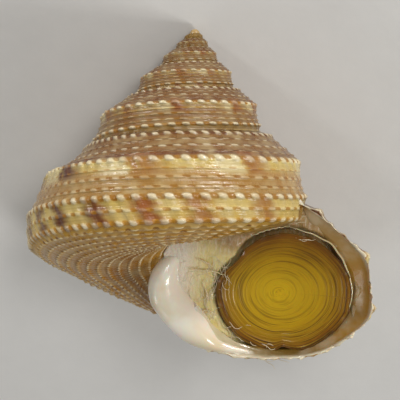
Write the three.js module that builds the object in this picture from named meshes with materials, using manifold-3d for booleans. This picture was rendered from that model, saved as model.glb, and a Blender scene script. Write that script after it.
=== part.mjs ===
// Top shell with its operculum set in the mouth on a plug of cotton wool.
// Millimetres. The shell is shaped about its own axis, apex up and mouth towards -Y, and is
// then laid down on its back, mouth up, the way a loose shell lies on a table.

import * as THREE from 'three';
import { mergeVertices } from 'three/addons/utils/BufferGeometryUtils.js';
import Module from 'manifold-3d';

// Growth of the spiral
const growth = 1.707;              // size of a turn against the turn before it
const firstTurn = -5;              // start of the spire, in turns before the body whorl
const lipTurn = 1;
// Size against steady growth at turns along the spiral
const sizeKnots = [
  [-0.1, 1], [0.15, 0.994], [0.3, 0.98], [0.45, 0.959], [0.6, 0.957], [0.75, 0.986], [0.9, 0.9815],
  [1, 0.975],
];
// The ramp above the shoulder sinks on the last turn, in outline units, by less at the lip
const sag = { middle: [97, 116], spread: 22, onTurn: 6.5, atLip: 2.5, from: 0.15, full: 0.45 };
const unitAtLip = 0.1251;          // millimetres of one outline unit at the lip

// Outline of a whorl in outline units: distance from the axis, depth below the apex, ridge height.
// From the upper seam over the shoulder to the upper keel
const upperOutline = [
  [72, 100.2, 0], [81.5, 104, 1.6], [86, 107.5, 0], [93, 112.7, 1.2], [99, 117.3, 0],
  [104, 121.4, 0.6], [109.6, 128, 1.6], [111.6, 134.5, 0], [113.4, 144.5, 1], [114.4, 148.7, 0],
  [115.6, 153, 1], [116.8, 157, 0], [118.3, 161, 1.6],
];
// From the upper keel over the lower keel and the base to the axis
const lowerOutline = [
  [118.7, 167, 0], [118.5, 173, 0], [116.5, 180.5, 1.3], [111, 184.7, 0], [103, 188.1, 0.8],
  [92, 191.6, 0], [81, 194, 0.8], [67, 195.5, 0], [53, 194.7, 0.8], [38, 192.3, 0],
  [22, 188.9, 0.6], [8, 182, 0],
];
// Lip below the upper keel in millimetres, seen from the front: sideways, depth below the apex
const lipOutline = [
  [14.25, 19.5], [14.15, 19.95], [13.5, 20.85], [12.5, 21.8], [11.35, 22.65], [10.1, 23.15],
  [8.6, 23.4], [6.8, 23.55], [5, 23.6], [3.54, 23.4], [2.4, 23.1], [1.1, 22.3], [0.38, 21.7],
];
// Hidden side of a whorl, past the axis and inside the turn before it, in outline units
const hiddenLine = [[-6, 172], [-9, 150], [-9, 125], [-6, 100], [10, 85], [35, 84], [57, 89], [65, 97]];
// Columella, a twisted pillar from inside the base to the lip: sideways, back, depth, radius
const columellaPath = [
  [0.2, 0.5, 14, 1.3], [-0.4, 0.5, 16.2, 1.35], [-0.8, 0.35, 17.8, 1.2], [-0.8, 0.75, 18.9, 1.1],
  [-0.45, 1.1, 19.8, 0.95], [0.45, 1.5, 20.75, 0.94], [1.5, 2, 21.6, 1], [2.15, 2.25, 22.3, 0.85],
  [3.05, 2.5, 22.95, 0.55],
];
const columellaSteps = 11;
const columellaSides = 10;

// Mouth
const mouthSlant = 28;             // degrees, the lip's lower part lies further back
const slantDepth = 19;             // depth at which the slanted lip crosses the axis plane
const lipStart = 0.72;             // turn from which the whorl rounds off towards the lip
const slantStart = 0.4;            // turn from which the steps along the whorl slant like the lip
const slantCore = 3;               // nearer the axis than this the slant grows no further
const slantMost = 0.6;             // largest sine of the angle that the slant turns a point by
// Hollow behind the bevel of the lip, carried to the lip: sideways, depth
const innerLoop = [
  [9, 13.9], [10.3, 14.9], [11.3, 16], [12.1, 17.2], [12.6, 18.4], [12.7, 19.6], [12.3, 20.7],
  [11.5, 21.6], [10.2, 22.4], [8.6, 22.85], [6.8, 22.95], [5.1, 22.7], [3.8, 22.1], [2.6, 21.2],
  [1.6, 20.2], [0.8, 18.9], [0.4, 17.6], [0.8, 16.4], [1.9, 15.8], [3.4, 15.4], [4.9, 15],
  [6.4, 14.5], [7.9, 13.95], [8.6, 13.4],
];
// The same at the thin edge of the lip
const edgeLoop = [
  [8.8, 12.95], [10.5, 13.85], [12.3, 15.3], [13.2, 16.1], [13.65, 17.2], [13.95, 18.9],
  [13.85, 20.1], [12.8, 21.3], [11.2, 22.45], [9.7, 23], [7.7, 23.3], [5.7, 23.4], [4.1, 23.25],
  [2.8, 22.3], [1.7, 20.9], [0.8, 19.3], [0.4, 17.6], [0.8, 16.4], [1.9, 15.8], [3.4, 15.4],
  [4.9, 15], [6.4, 14.5], [7.9, 13.95], [8.5, 13.2],
];
const bevelLength = 0.016;         // turns over which the wall reaches its full thickness
const hollowEnd = 0.62;            // turn at which the modelled hollow ends
const hollowOverrun = 0.03;        // the cutter of the hollow runs this far past the lip
const hollowSteps = 11;

// Cords: steps along each half turn from the start of the spire, and the beads of the last turn
const stepsPerHalfTurn = [4, 4, 5, 6, 7, 8, 10, 12, 13, 16, 36, 36];
const beadedFrom = 0;
const beadDepth = 0.55;            // share of a ridge's height lost between two beads
const joint = { reach: 0.015, shrink: 0.3 };   // turns a stretch reaches, shrunk, into the one before
const apexDome = { radius: 0.36, depth: 0.58, around: 8, down: 6 };
const spindle = { radius: 1.4, top: -1, bottom: -19.27, sides: 10 };

// Operculum: a round horny disc, dished a little, with rings and one hollow in its edge
const disc = {
  across: 4.85, along: 4.5, thickness: 0.4, rings: [1, 0.88, 0.76, 0.6, 0.35],
  relief: [0, 0.08, 0, 0.06, 0], dish: 0.25, backRings: [0.5, 0.96], sides: 32,
  dentAngle: 140, dentWidth: 22, dentDepth: 0.6,
};
const discPlace = { sideways: 7.75, back: 0.55, depth: 18.8 };
const discGap = 0.25;
const discRoomFront = 0.3;         // how far the room cut for the disc reaches in front of it
const clearOfMouth = 6;            // the same where the plug has to stay behind the disc

// Cotton wool behind and beside the operculum
const plug = { from: 0.74, to: 0.985, gap: 0.4, steps: 7 };

// The shell lies on its back: the turns in degrees that lay it down, and its move over the floor
const laid = { aboutX: 129.77, aboutY: 0.05, aboutZ: 180, x: 1.717, y: -11.657, z: 0.252 };

const fullTurn = 2 * Math.PI;
const axis = new THREE.Vector3(0, 0, 1);
const mergeTolerance = 0.003;      // points of a solid nearer than this are one point
const sliverSize = 0.01;           // edges left by a cut that are shorter than this are closed up
const wasm = await Module();
wasm.setup();

const smooth = (value, from, to) => THREE.MathUtils.smoothstep(value, from, to);
const radians = (degrees) => THREE.MathUtils.degToRad(degrees);

// Size of the whorl at a turn against steady growth that would reach one at the lip
function sizeAt(turn) {
  const next = Math.max(sizeKnots.findIndex(([at]) => at > turn), 1);
  const [[fromTurn, from], [toTurn, to]] = sizeKnots.slice(turn >= lipTurn ? -2 : next - 1);
  const share = THREE.MathUtils.clamp((turn - fromTurn) / (toTurn - fromTurn), 0, 1);
  return growth ** (turn - lipTurn) * THREE.MathUtils.lerp(from, to, share);
}

// A point given at the lip, carried back along the spiral to an earlier turn
function alongSpiral(point, turn) {
  const size = sizeAt(turn) / sizeAt(lipTurn);
  return point.clone().multiplyScalar(size).applyAxisAngle(axis, (lipTurn - turn) * fullTurn);
}

// How far behind the axis plane the slanted mouth lies at a depth
function slantBack(depth) {
  return Math.tan(radians(mouthSlant)) * (depth - slantDepth);
}

// A point of the outline moved along the spiral, so that it lies in the slanted mouth
function slanted(radius, depth, amount) {
  const sine = THREE.MathUtils.clamp(slantBack(depth) / Math.max(radius, slantCore), -slantMost, slantMost);
  const angle = -Math.asin(sine) * amount;
  const size = growth ** (angle / fullTurn);
  return new THREE.Vector3(radius * Math.cos(angle), -radius * Math.sin(angle), -depth)
    .multiplyScalar(size);
}

// Points spread evenly along a line of [sideways, depth] points
function evenly(line, count) {
  const curve = new THREE.Path(line.map(([x, y]) => new THREE.Vector2(x, y)));
  return curve.getSpacedPoints(count - 1);
}

// The outline with its ridges raised and its ramp sunk square to it, in millimetres at the lip
function raised(outline, before, after, lift, sunk) {
  const line = [before, ...outline, after];
  return outline.map(([radius, depth, height], row) => {
    const along = new THREE.Vector2(line[row + 2][0] - line[row][0], line[row + 2][1] - line[row][1]);
    along.normalize();
    const away = Math.hypot(radius - sag.middle[0], depth - sag.middle[1]) / sag.spread;
    const rise = height * lift - sunk * Math.exp(-away * away);
    return [(radius + along.y * rise) * unitAtLip, (depth - along.x * rise) * unitAtLip];
  });
}

const lipSize = sizeAt(lipTurn);

// Closed outline of the filled whorl, in space, at a turn
function whorlLoop(turn, bead) {
  const lift = 1 - beadDepth + beadDepth * 2 * bead;
  const amount = smooth(turn, slantStart, lipStart);
  const nearLip = smooth(turn, lipStart, lipTurn);
  const place = ([radius, depth]) => slanted(radius * lipSize, depth * lipSize, amount);
  const sunk = smooth(turn, sag.from, sag.full) * THREE.MathUtils.lerp(sag.onTurn, sag.atLip, nearLip);
  const upper = raised(upperOutline, upperOutline[0], lowerOutline[0], lift, sunk).map(place);
  const lower = raised(lowerOutline, upperOutline.at(-1), lowerOutline.at(-1), lift, sunk).map(place);
  const lip = evenly(lipOutline, lowerOutline.length + 1).slice(1);
  lower.forEach((point, row) => {
    const edge = new THREE.Vector3(lip[row].x, slantBack(lip[row].y), -lip[row].y);
    point.lerp(edge, nearLip);
  });
  const hidden = hiddenLine.map(([x, depth]) =>
    new THREE.Vector3(x * unitAtLip * lipSize, 0, -depth * unitAtLip * lipSize));
  return [...upper, ...lower, ...hidden].map((point) => alongSpiral(point, turn));
}

// Closed outline of the hollow at a turn
function hollowLoop(turn) {
  const wall = smooth(lipTurn - turn, 0, bevelLength);
  return innerLoop.map(([x, depth], row) => {
    const sideways = THREE.MathUtils.lerp(edgeLoop[row][0], x, wall);
    const down = THREE.MathUtils.lerp(edgeLoop[row][1], depth, wall);
    return alongSpiral(new THREE.Vector3(sideways, slantBack(down), -down), turn);
  });
}

// A loop drawn in towards its middle, by a share or by a distance
function drawnIn(loop, share, distance) {
  const middle = centreOf(loop);
  return loop.map((point) => {
    const inward = middle.clone().sub(point);
    return point.clone().addScaledVector(inward, share + distance / inward.length());
  });
}

function centreOf(loop) {
  const sum = loop.reduce((total, point) => total.add(point), new THREE.Vector3());
  return sum.divideScalar(loop.length);
}

// A solid from closed loops one behind the other, with its two ends closed
function loft(loops) {
  const count = loops[0].length;
  const positions = loops.flat().flatMap((point) => point.toArray());
  const faces = [];
  for (let ring = 0; ring + 1 < loops.length; ring++) {
    for (let k = 0; k < count; k++) {
      const a = ring * count + k;
      const b = ring * count + (k + 1) % count;
      faces.push(a, b + count, b, a, a + count, b + count);
    }
  }
  const last = (loops.length - 1) * count;
  for (const [a, b, c] of THREE.ShapeUtils.triangulateShape(flattened(loops[0]), [])) {
    faces.push(a, b, c);
  }
  for (const [a, b, c] of THREE.ShapeUtils.triangulateShape(flattened(loops.at(-1)), [])) {
    faces.push(last + a, last + c, last + b);
  }
  return solid(positions, faces);
}

// A loop seen square to its own plane
function flattened(loop) {
  const middle = centreOf(loop);
  const normal = new THREE.Vector3();
  loop.forEach((point, k) => {
    const next = loop[(k + 1) % loop.length];
    normal.add(point.clone().sub(middle).cross(next.clone().sub(middle)));
  });
  const turned = new THREE.Quaternion().setFromUnitVectors(normal.normalize(), axis);
  return loop.map((point) => {
    const { x, y } = point.clone().sub(middle).applyQuaternion(turned);
    return new THREE.Vector2(x, y);
  });
}

function solid(positions, faces) {
  const mesh = new wasm.Mesh({
    numProp: 3,
    vertProperties: new Float32Array(positions),
    triVerts: new Uint32Array(faces),
    tolerance: mergeTolerance,
  });
  return new wasm.Manifold(mesh);
}

function solidOf(geometry) {
  const bare = geometry.clone();
  bare.deleteAttribute('normal');
  bare.deleteAttribute('uv');
  const merged = mergeVertices(bare, 1e-5);
  return solid(merged.attributes.position.array, merged.index.array);
}

function geometryOf(manifold) {
  const { vertProperties, triVerts, numProp } = manifold.getMesh();
  const geometry = new THREE.BufferGeometry();
  const positions = new Float32Array(vertProperties.length / numProp * 3);
  for (let k = 0; k < positions.length / 3; k++) {
    positions.set(vertProperties.subarray(k * numProp, k * numProp + 3), k * 3);
  }
  geometry.setAttribute('position', new THREE.BufferAttribute(positions, 3));
  geometry.setIndex(Array.from(triVerts));
  geometry.computeVertexNormals();
  return geometry;
}

// The outer body of a solid, without slivers and without any closed pocket left inside it
function outerBody(manifold) {
  const bodies = manifold.decompose();
  const outer = bodies.reduce((best, body) => (body.volume() > best.volume() ? body : best));
  return outer.simplify(sliverSize);
}

// Half a turn of the whorl, its start reaching a little into the half turn before
function whorlStretch(index) {
  const steps = stepsPerHalfTurn[index];
  const start = firstTurn + index / 2;
  const beaded = start >= beadedFrom;
  const loops = [drawnIn(whorlLoop(start - joint.reach, 0.5), joint.shrink, 0)];
  for (let step = 0; step <= steps; step++) {
    loops.push(whorlLoop(start + step / steps / 2, beaded ? step % 2 : 0.5));
  }
  return loft(loops);
}

function makeFilledShell() {
  const dome = new THREE.SphereGeometry(apexDome.radius, apexDome.around, apexDome.down)
    .translate(0, 0, -apexDome.depth);
  const { radius, top, bottom, sides } = spindle;
  const profile = [[0, bottom], [radius, bottom], [0, top]].map(([x, y]) => new THREE.Vector2(x, y));
  const core = new THREE.LatheGeometry(profile, sides).rotateX(Math.PI / 2);
  const stretches = stepsPerHalfTurn.map((steps, index) => whorlStretch(index));
  const whole = stretches.reduce((sum, stretch) => sum.add(stretch), solidOf(dome).add(solidOf(core)));
  return outerBody(whole);
}

// A round pillar along a smooth path, its radius changing on the way
function makeColumella(gap) {
  const path = new THREE.CatmullRomCurve3(
    columellaPath.map(([x, back, depth]) => new THREE.Vector3(x, back, -depth)));
  const radii = new THREE.SplineCurve(
    columellaPath.map(([x, back, depth, radius], k) => new THREE.Vector2(k, radius)));
  const { normals, binormals } = path.computeFrenetFrames(columellaSteps, false);
  const loops = normals.map((normal, step) => {
    const share = step / columellaSteps;
    const middle = path.getPoint(share);
    const radius = radii.getPoint(share).y + gap;
    const loop = [];
    for (let side = 0; side < columellaSides; side++) {
      const turn = fullTurn / columellaSides * side;
      loop.push(middle.clone()
        .addScaledVector(normal, radius * Math.cos(turn))
        .addScaledVector(binormals[step], -radius * Math.sin(turn)));
    }
    return loop;
  });
  return loft(loops);
}

function makeHollow(from, to, steps, gap) {
  const loops = [];
  for (let step = 0; step <= steps; step++) {
    loops.push(drawnIn(hollowLoop(THREE.MathUtils.lerp(from, to, step / steps)), 0, gap));
  }
  return loft(loops);
}

// Outline of the operculum at an angle, as a share of its size
function discEdge(angle) {
  const turn = radians(angle - disc.dentAngle);
  const away = Math.atan2(Math.sin(turn), Math.cos(turn)) / radians(disc.dentWidth);
  return 1 - disc.dentDepth / disc.across * Math.exp(-away * away);
}

// The operculum, or with a gap added the room it takes; front is how far the room reaches forward
function makeDisc(gap, front) {
  const slant = radians(mouthSlant);
  const toSide = new THREE.Vector3(1, 0, 0);
  const toTop = new THREE.Vector3(0, -Math.sin(slant), Math.cos(slant));
  const outward = new THREE.Vector3().crossVectors(toSide, toTop);
  const middle = new THREE.Vector3(discPlace.sideways, discPlace.back, -discPlace.depth);
  const ringLoop = (share, height) => {
    const loop = [];
    for (let side = 0; side < disc.sides; side++) {
      const angle = 360 - 360 / disc.sides * side;
      const reach = discEdge(angle) * share;
      const turn = radians(angle);
      loop.push(middle.clone()
        .addScaledVector(toSide, (disc.across + gap) * reach * Math.cos(turn))
        .addScaledVector(toTop, (disc.along + gap) * reach * Math.sin(turn))
        .addScaledVector(outward, height));
    }
    return loop;
  };
  const back = -disc.thickness - gap;
  if (front > 0) {
    return loft([ringLoop(1, back), ringLoop(1, front)]);
  }
  const faces = disc.rings.map((share, ring) =>
    ringLoop(share, disc.relief[ring] - disc.dish * (1 - share)));
  return loft([...disc.backRings.map((share) => ringLoop(share, back)), ...faces]);
}

const filled = makeFilledShell();
const hollow = makeHollow(hollowEnd, lipTurn + hollowOverrun, hollowSteps, 0);
const columella = makeColumella(0);
const shellSolid = outerBody(filled.subtract(hollow).add(columella)
  .subtract(makeDisc(discGap, discRoomFront)));
const discSolid = makeDisc(0, 0);
const plugSolid = outerBody(makeHollow(plug.from, plug.to, plug.steps, plug.gap)
  .subtract(makeColumella(plug.gap)).subtract(makeDisc(discGap, clearOfMouth)));

function makeMesh(name, manifold, finish) {
  const mesh = new THREE.Mesh(geometryOf(manifold), new THREE.MeshStandardMaterial(finish));
  mesh.name = name;
  return mesh;
}

const upright = new THREE.Group();
upright.add(
  makeMesh('shell', shellSolid, { color: 0xc9a983, roughness: 0.35, metalness: 0 }),
  makeMesh('operculum', discSolid, { color: 0xa8841c, roughness: 0.3, metalness: 0 }),
  makeMesh('cotton_plug', plugSolid, { color: 0xe8e2d2, roughness: 0.95, metalness: 0 }),
);
upright.rotation.set(radians(laid.aboutX), radians(laid.aboutY), radians(laid.aboutZ));
upright.position.set(laid.x, laid.y, laid.z);

const group = new THREE.Group();
group.add(upright);

export default group;
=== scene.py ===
import bpy
import numpy as np
from mathutils import Matrix


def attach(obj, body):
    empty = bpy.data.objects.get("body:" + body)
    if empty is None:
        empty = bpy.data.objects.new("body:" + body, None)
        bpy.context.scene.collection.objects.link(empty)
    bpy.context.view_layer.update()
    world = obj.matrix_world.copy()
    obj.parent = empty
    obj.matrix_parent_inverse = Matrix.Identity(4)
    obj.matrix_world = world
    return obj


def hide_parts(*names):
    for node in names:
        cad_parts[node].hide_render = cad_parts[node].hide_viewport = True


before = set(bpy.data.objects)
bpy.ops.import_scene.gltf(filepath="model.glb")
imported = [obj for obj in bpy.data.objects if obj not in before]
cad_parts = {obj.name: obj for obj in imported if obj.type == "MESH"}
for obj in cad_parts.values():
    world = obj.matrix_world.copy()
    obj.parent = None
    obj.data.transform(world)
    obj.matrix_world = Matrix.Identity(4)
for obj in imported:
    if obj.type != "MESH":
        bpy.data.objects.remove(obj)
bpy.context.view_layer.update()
print("frame loaded")

# The shell is worked out in millimetres about its own axis: apex at the origin, axis along Z,
# mouth towards -Y, and depth counted down from the apex. The frame lays it on its back.
laid = {
    "turns": (129.77, 0.05, 180.0),      # degrees about X, Y and Z that lay the shell down
    "move": (1.717, -11.657, 0.252),     # millimetres
}

coil = {
    "growth": 1.707,          # size of a turn against the turn before it
    "firstTurn": -5.0, "lipTurn": 1.0,
    "unit": 0.1251,           # millimetres of one outline unit at the lip
    # size against steady growth: turn, share
    "sizes": [(-5, 0.998), (-0.6, 0.995), (-0.1, 1.003), (0.15, 0.994), (0.3, 0.98), (0.45, 0.959),
              (0.6, 0.957), (0.75, 0.986), (0.9, 0.9815), (1, 0.975)],
    "mouthSlant": 28.0,       # degrees, the lower lip lies further back
    "slantDepth": 19.0,       # depth at which the lip crosses the axis plane
    "slantCore": 3.0,         # nearer the axis than this the slant grows no further
    "slantMost": 0.6,
    "lipStart": 0.72,         # turn from which the whorl rounds off towards the lip
    "lipBlend": 30,           # rows above the upper keel over which it does
    "beadsPerTurn": [(-5, 11), (-3.75, 14), (-2.75, 20), (-1.75, 28), (-0.75, 38), (0, 46),
                     (0.2, 48), (0.27, 52), (0.33, 62), (0.4, 78), (0.5, 84), (1, 76)],
    "beadSpread": 0.35,       # how much the beads differ in height
    "rib": 1.0,               # low ribs that run across the cords, in outline units
    "ribWidth": 9,            # how far they reach from the shoulder
    "spireRelief": 1.5,       # cords on the early turns stand out more than on the last one
    "baseLean": -0.05,        # beads that the columns on the base shift by over one outline unit
    "seed": 7,
}

# The ramp above the shoulder sinks on the last turn, in outline units
sag = {
    "middle": (97, 116), "spread": 22.0, "onTurn": 6.5, "atLip": 2.5,
    "turns": (0.15, 0.45), "lipTurns": (0.7, 1.0),    # turns where it sets in, and where the lip's takes over
}

# Whorl outline between the cords: distance from the axis and depth, in outline units
sectionLine = [
    (60, 97.5), (69, 99.3), (76, 101.3), (81.5, 104), (87, 108.2), (93, 112.7), (99, 117.3), (105, 122.2),
    (109.2, 127.2), (111.6, 133.5), (113.4, 144.5), (115.7, 153), (118, 159), (118.7, 163), (118.7, 168),
    (118.2, 174), (116.4, 180), (111.3, 184.7), (103, 188.1), (92, 191.6), (81, 194.05), (67, 195.55),
    (53, 194.7), (38, 192.3), (22, 188.9), (8, 182),
]
# Hidden side of a whorl, past the axis and inside the turn before it
hiddenLine = [(-6, 172), (-9, 150), (-9, 125), (-6, 100), (10, 85), (35, 84), (57, 89)]

# Cords from the upper seam down. Relief: distance, depth, height, half width, share of the height in
# beads. Paint: white of the beads, brown of the gaps, darkness of that brown, how far it sits above the
# cord, height of a bead and of a gap, all but the first three in half widths
cordTable = [
    (81.5, 104, 2.4, 2.6, 0.7, 0.75, 1.0, 0.95, 0.1, 1.1, 1.3),
    (89, 110, 1.2, 1.6, 0.5, 0.4, 0.9, 0.95, 0.3, 0.7, 0.9),
    (97, 116, 1.5, 2.0, 0.6, 0.65, 0.95, 0.8, 0.25, 0.9, 0.9),
    (104, 121.6, 0.9, 1.5, 0.5, 0.25, 0.85, 0.95, 0.3, 0.6, 0.8),
    (109.8, 128.3, 2.4, 3.0, 0.75, 0.9, 1.0, 0.45, 0.4, 1.1, 0.75),    # on the shoulder
    (111.9, 136.6, 0.3, 1.2, 0.3, 0.15, 0.75, 0.3, 0.0, 0.6, 0.7),
    (113.4, 144.5, 1.5, 1.8, 0.5, 0.3, 1.0, 0.6, 0.4, 1.0, 0.7),
    (115.6, 153, 1.5, 1.8, 0.5, 0.3, 1.0, 0.6, 0.4, 1.0, 0.7),
    (118.1, 161, 2.5, 2.6, 0.75, 0.9, 1.0, 0.5, 0.0, 1.1, 1.05),       # upper keel
    (118.0, 171.5, 0.9, 2.0, 0.5, 0.5, 0.9, 0.35, 0.0, 0.8, 0.8),
    (115.5, 181, 2.0, 2.6, 0.75, 0.85, 0.95, 0.15, 0.0, 1.0, 1.0),     # lower keel
]
baseCords = {
    "count": 13, "last": (14, 187), "plain": (2.0, 1.9, 0.85, 0.8, 1.0, 0.7, 0.3, 0.65, 0.6),
    "lowest": 2, "besideColumella": (1.9, 2.2, 0.85, 0.6, 0.95, 0.4, 0.0, 0.6, 0.8),
}


# A soft step from 0 at a to 1 at b
def smoothStep(value, a, b):
    t = np.clip((value - a) / (b - a), 0, 1)
    return t * t * (3 - 2 * t)


# Values side by side as the last direction of one array
def stacked(*values):
    return np.stack(np.broadcast_arrays(*values), -1)


# Directions made one long
def unit(vectors):
    return vectors / np.linalg.norm(vectors, axis=-1, keepdims=True)


# A value read off a table of pairs, with straight lines between them
def lookUp(value, pairs):
    return np.interp(value, *np.array(pairs).T)


# A Catmull-Rom line through the points, resampled evenly by its length: places along it, and points
def smoothLine(points, count):
    p = np.asarray(points, float)
    p = np.vstack([2 * p[0] - p[1], p, 2 * p[-1] - p[-2]])
    t = np.linspace(0, 1, 24, endpoint=False)[:, None, None]
    a, b, c, d = p[:-3], p[1:-2], p[2:-1], p[3:]
    bends = (2 * a - 5 * b + 4 * c - d) * t ** 2 + (3 * b - a - 3 * c + d) * t ** 3
    dense = 0.5 * (2 * b + (c - a) * t + bends)
    dense = np.vstack([dense.transpose(1, 0, 2).reshape(-1, p.shape[1]), p[-2]])
    length = np.concatenate([[0], np.cumsum(np.linalg.norm(np.diff(dense, axis=0), axis=1))])
    at = np.linspace(0, length[-1], count)
    return at, stacked(*(np.interp(at, length, column) for column in dense.T))


# A line's point at each place along it
def alongLine(line, places):
    at, points = line
    return stacked(*(np.interp(places, at, column) for column in points.T))


# The same with the places given as shares of its length
def alongShare(line, share):
    return alongLine(line, share * line[0][-1])


# The three laid turns as one matrix: about X after Y after Z
def laidMatrix():
    x, y, z = np.radians(laid["turns"])
    turnX = np.array([[1, 0, 0], [0, np.cos(x), -np.sin(x)], [0, np.sin(x), np.cos(x)]])
    turnY = np.array([[np.cos(y), 0, np.sin(y)], [0, 1, 0], [-np.sin(y), 0, np.cos(y)]])
    turnZ = np.array([[np.cos(z), -np.sin(z), 0], [np.sin(z), np.cos(z), 0], [0, 0, 1]])
    return turnX @ turnY @ turnZ


frameTurn = laidMatrix()


# From the shell's own millimetres to the frame's metres: turned, moved and scaled
def placed(points):
    return (points @ frameTurn.T + laid["move"]) / 1000


# The way back: from the frame's metres to the shell's own millimetres
def unplaced(points):
    return (points * 1000 - laid["move"]) @ frameTurn


outline = smoothLine(sectionLine, 1200)
lineEnd = outline[0][-1]
outlineSteps = np.gradient(outline[1], axis=0)
outlineNormals = (outline[0], unit(stacked(outlineSteps[:, 1], -outlineSteps[:, 0])))
hiddenSide = smoothLine([sectionLine[-1]] + hiddenLine + [sectionLine[0]], 200)


# Place along the whorl's outline nearest to a point of it
def rowAt(distance, depth):
    return outline[0][np.argmin(np.hypot(outline[1][:, 0] - distance, outline[1][:, 1] - depth))]


# All cords as rows: place along the outline, then relief and paint
def makeCords():
    rows = [(rowAt(r, d), *rest) for r, d, *rest in cordTable]
    first, last, count = rows[-1][0], rowAt(*baseCords["last"]), baseCords["count"]
    for k in range(1, count + 1):
        kind = "besideColumella" if k > count - baseCords["lowest"] else "plain"
        rows.append((first + (last - first) * k / count, *baseCords[kind]))
    return np.array(rows)


cords = makeCords()
cordRow, cordHeightAt, cordWidth, cordBeads = cords[:, :4].T
cordWhite, cordGap, cordDark, cordAbove, beadTall, gapTall = cords[:, 4:].T
# Rows of the cord on the shoulder, the upper keel, the cord below it and the lower keel
shoulderRow, keelRow, betweenKeelsRow, lowKeelRow = cordRow[[4, 8, 9, 10]]
sagRow = rowAt(*sag["middle"])

turnGrid = np.linspace(coil["firstTurn"] - 0.1, coil["lipTurn"] + 0.1, 3000)
beadCount = np.cumsum(lookUp(turnGrid, coil["beadsPerTurn"])) * (turnGrid[1] - turnGrid[0])
chance = np.random.default_rng(coil["seed"])
beadChance = chance.random((len(cords), int(beadCount[-1]) + 3))
gapChance = chance.random(beadChance.shape)


# Beads passed since the start of the spire: the sum of the beads per turn, leaning over on the base
def beadPhase(turn, row):
    return np.interp(turn, turnGrid, beadCount) + coil["baseLean"] * np.maximum(row - lowKeelRow, 0)


# Size of the whorl at a turn: steady growth times a small correction
def sizeAt(turn):
    return coil["unit"] * coil["growth"] ** (turn - coil["lipTurn"]) * lookUp(turn, coil["sizes"])


# Up along the slanted plane of the mouth, and out of it
slant = np.radians(coil["mouthSlant"])
mouthUp = np.array([0, -np.sin(slant), np.cos(slant)])
mouthOut = np.array([0, -np.cos(slant), -np.sin(slant)])


# Distance of the slanted mouth behind the axis plane at a depth
def slantBack(depth):
    return np.tan(slant) * (depth - coil["slantDepth"])


# How far a point lies behind the slanted plane of the lip
def behindLip(point):
    return point[..., 1] - slantBack(-point[..., 2])


# Height over the outline: a bell across each cord, high on its beads and low between them, and low ribs
def reliefHeight(turn, row):
    phase = beadPhase(turn, row)
    bead = 0.5 + 0.5 * np.cos(2 * np.pi * phase)
    index = np.round(phase).astype(int)
    onShoulder = np.exp(-((row - shoulderRow) / coil["ribWidth"]) ** 2)
    onKeels = smoothStep(row, keelRow - 6, keelRow) * smoothStep(row, lowKeelRow + 12, lowKeelRow)
    total = coil["rib"] * bead * (onShoulder + onKeels)
    for k in range(len(cords)):
        tall = 1 - coil["beadSpread"] * beadChance[k][index]
        bell = np.exp(-((row - cordRow[k]) / cordWidth[k]) ** 2)
        total = total + cordHeightAt[k] * (1 - cordBeads[k] + cordBeads[k] * bead * tall) * bell
    return total * (1 + (coil["spireRelief"] - 1) * smoothStep(turn, 0.1, -0.4))


# An outline point at a turn: turned back by the slant, scaled to the size there, and set round the axis
def onCoil(turn, points):
    distance, depth = points[..., 0], points[..., 1]
    lipUnit = sizeAt(coil["lipTurn"])
    sine = slantBack(depth * lipUnit) / np.maximum(distance * lipUnit, coil["slantCore"])
    turn = turn - np.arcsin(np.clip(sine, -coil["slantMost"], coil["slantMost"])) / (2 * np.pi)
    angle = 2 * np.pi * turn
    return stacked(distance * np.cos(angle), -distance * np.sin(angle), -depth) * sizeAt(turn)[..., None]


# A point given at the slanted lip, carried back along the spiral to a turn
def fromLip(turn, points):
    sideways, depth = points[..., 0], points[..., 1]
    back = (coil["lipTurn"] - turn) * 2 * np.pi
    deep = slantBack(depth)
    cosine, sine = np.cos(back), np.sin(back)
    turned = stacked(sideways * cosine - deep * sine, sideways * sine + deep * cosine, -depth)
    return turned * (sizeAt(turn) / sizeAt(coil["lipTurn"]))[..., None]


glaze = {
    # edge of the glaze on the turn before the mouth: sideways, depth
    "edge": [(-2.2, 18.3), (-1.79, 17.97), (0.48, 16.43), (1.89, 15.96), (3.28, 15.28), (5.03, 14.57),
             (6.41, 13.74), (7.79, 12.92), (8.27, 12.52), (8.9, 11.6)],
    "soft": 0.16, "ridge": 1.2,    # mm, outline units
    "left": -2.2, "back": 4, "lastTurn": 0.45,    # it reaches no further than these, in mm and turns
    "rows": (1, 8),                # rows below the lower keel over which it fades in
    "behindLip": (-4.5, -3),       # the same in mm in front of the lip
}


# Glaze that the mouth lays on the turn before it: all that lies below its edge line, seen from the front
def glazeMask(point, turn, row):
    sideways, back, depth = point[..., 0], point[..., 1], -point[..., 2]
    wave = 0.05 * np.sin(sideways * 6) + 0.04 * np.sin(sideways * 15 + 1)
    inFront = (back < glaze["back"]) * (sideways > glaze["left"]) * (turn < glaze["lastTurn"])
    inFront = inFront * smoothStep(row - lowKeelRow, *glaze["rows"])
    inFront = inFront * smoothStep(behindLip(point), *glaze["behindLip"])
    return smoothStep(depth - lookUp(sideways, glaze["edge"]) + wave, -glaze["soft"], glaze["soft"]) * inFront


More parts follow.
